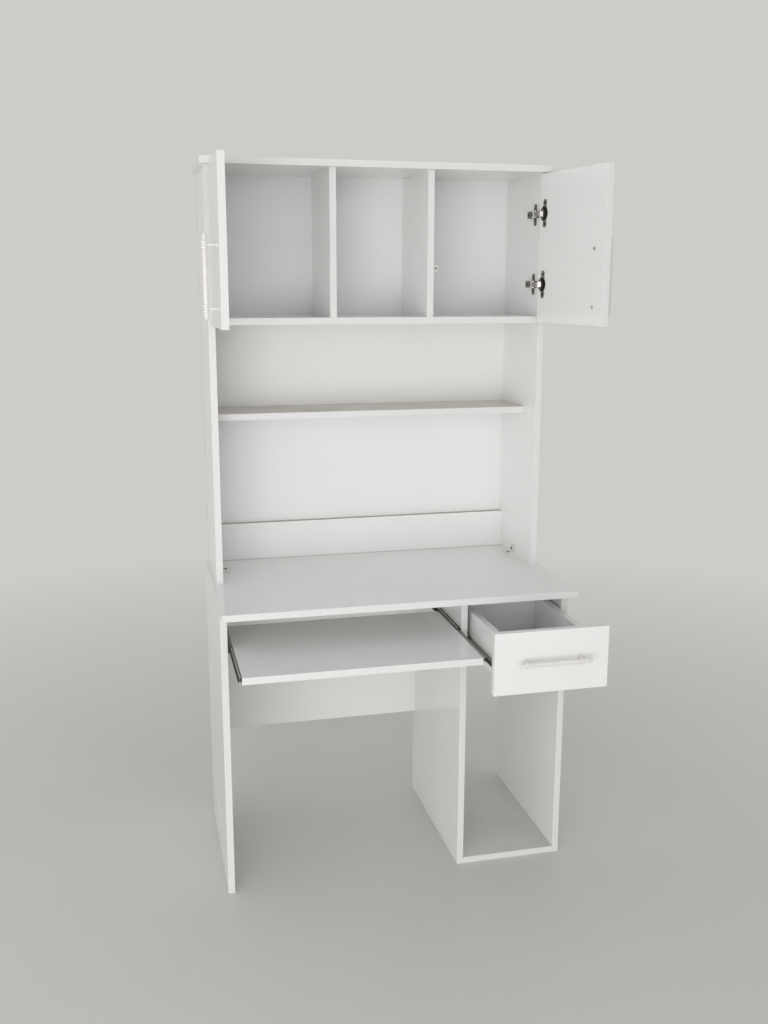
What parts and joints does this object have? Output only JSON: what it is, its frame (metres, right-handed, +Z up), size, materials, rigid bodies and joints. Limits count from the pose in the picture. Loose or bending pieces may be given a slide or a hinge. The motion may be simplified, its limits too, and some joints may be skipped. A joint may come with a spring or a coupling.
{
  "type": "student desk with hutch",
  "caption": "White melamine desk with a pull-out keyboard tray, drawer, computer bay and a hutch with shelf, open bay and hinged cabinet doors.",
  "frame": {"origin": "on the floor, under the middle of the box round the desk as it is stored with tray, drawer and doors open", "axes": "+Z up, +X to the right seen from the front, +Y to the back, so the front faces -Y"},
  "size_m": [0.9113, 0.6973, 1.704],
  "materials": {
    "white_melamine": "white melamine-faced chipboard, gloss",
    "white_sheet": "thin white-lacquered hardboard",
    "black_steel": "black coated steel",
    "plated_steel": "zinc plated",
    "nickel_steel": "nickel plated",
    "cream_handle": "cream satin lacquer",
    "white_plastic": "moulded",
    "beige_plastic": "moulded",
    "brown_plastic": "moulded"
  },
  "bodies": {
    "carcass": {"base_bottom_board": "white_melamine", "base_left_side": "white_melamine", "base_partition": "white_melamine", "base_right_side": "white_melamine", "cabinet_floor": "white_melamine", "corner_block_left": "white_plastic", "corner_block_right": "white_plastic", "desktop": "white_melamine", "divider_left": "white_melamine", "divider_right": "white_melamine", "door_catch": "beige_plastic", "drawer_slide_left_outer": "black_steel", "drawer_slide_right_outer": "black_steel", "hutch_back_panel": "white_sheet", "hutch_left_side": "white_melamine", "hutch_right_side": "white_melamine", "hutch_top": "white_melamine", "left_door_hinge_arms": "nickel_steel", "left_door_hinge_plates": "nickel_steel", "middle_shelf": "white_melamine", "modesty_panel": "white_melamine", "rear_rail": "white_melamine", "right_door_hinge_arms": "nickel_steel", "right_door_hinge_plates": "nickel_steel", "tray_slide_left_outer": "black_steel", "tray_slide_right_outer": "black_steel"},
    "keyboard_tray": {"keyboard_tray": "white_melamine", "tray_slide_left_inner": "black_steel", "tray_slide_right_inner": "black_steel"},
    "tray_retainers": {"tray_slide_left_retainer": "plated_steel", "tray_slide_right_retainer": "plated_steel"},
    "drawer": {"drawer_back": "white_melamine", "drawer_bottom": "white_sheet", "drawer_front": "white_melamine", "drawer_handle": "cream_handle", "drawer_handle_screws": "plated_steel", "drawer_left_side": "white_melamine", "drawer_right_side": "white_melamine", "drawer_slide_left_inner": "black_steel", "drawer_slide_right_inner": "black_steel"},
    "drawer_retainers": {"drawer_slide_left_retainer": "plated_steel", "drawer_slide_right_retainer": "plated_steel"},
    "left_links": {"left_door_hinge_links": "nickel_steel"},
    "left_door": {"left_door": "white_melamine", "left_door_handle": "cream_handle", "left_door_handle_screws": "plated_steel", "left_door_hinge_cups": "nickel_steel"},
    "right_links": {"right_door_hinge_links": "nickel_steel"},
    "right_door": {"right_door": "white_melamine", "right_door_handle": "cream_handle", "right_door_handle_screws": "plated_steel", "right_door_hinge_cups": "nickel_steel"}
  },
  "joints": [
    {"name": "tray_slide", "type": "slide", "parent": "carcass", "child": "keyboard_tray", "axis": [0, -1, 0], "range_m": [-0.199, 0.046]},
    {"name": "tray_slide_retainers", "type": "slide", "parent": "carcass", "child": "tray_retainers", "axis": [0, -1, 0], "range_m": [-0.1, 0.0235]},
    {"name": "drawer_slide", "type": "slide", "parent": "carcass", "child": "drawer", "axis": [0, -1, 0], "range_m": [-0.2175, 0.033]},
    {"name": "drawer_slide_retainers", "type": "slide", "parent": "carcass", "child": "drawer_retainers", "axis": [0, -1, 0], "range_m": [-0.10925, 0.017]},
    {"name": "left_link_hinge", "type": "hinge", "parent": "carcass", "child": "left_links", "pos_m": [-0.3965, 0.107, 1.509], "axis": [0, 0, -1], "range_deg": [-7.81, 34.8]},
    {"name": "left_door_hinge", "type": "hinge", "parent": "left_links", "child": "left_door", "pos_m": [-0.40945, 0.09009, 1.509], "axis": [0, 0, -1], "range_deg": [-124.7, 27.71]},
    {"name": "right_link_hinge", "type": "hinge", "parent": "carcass", "child": "right_links", "pos_m": [0.3635, 0.107, 1.509], "axis": [0, 0, 1], "range_deg": [-4.73, 37.89]},
    {"name": "right_door_hinge", "type": "hinge", "parent": "right_links", "child": "right_door", "pos_m": [0.37552, 0.08942, 1.509], "axis": [0, 0, 1], "range_deg": [-135.79, 16.63]}
  ],
  "couplings": [
    {"joint": "tray_slide_retainers", "follows": "tray_slide", "ratio": 0.5},
    {"joint": "drawer_slide_retainers", "follows": "drawer_slide", "ratio": 0.5},
    {"joint": "left_link_hinge", "follows": "left_door_hinge", "ratio": -0.27829},
    {"joint": "right_link_hinge", "follows": "right_door_hinge", "ratio": -0.27829}
  ]
}
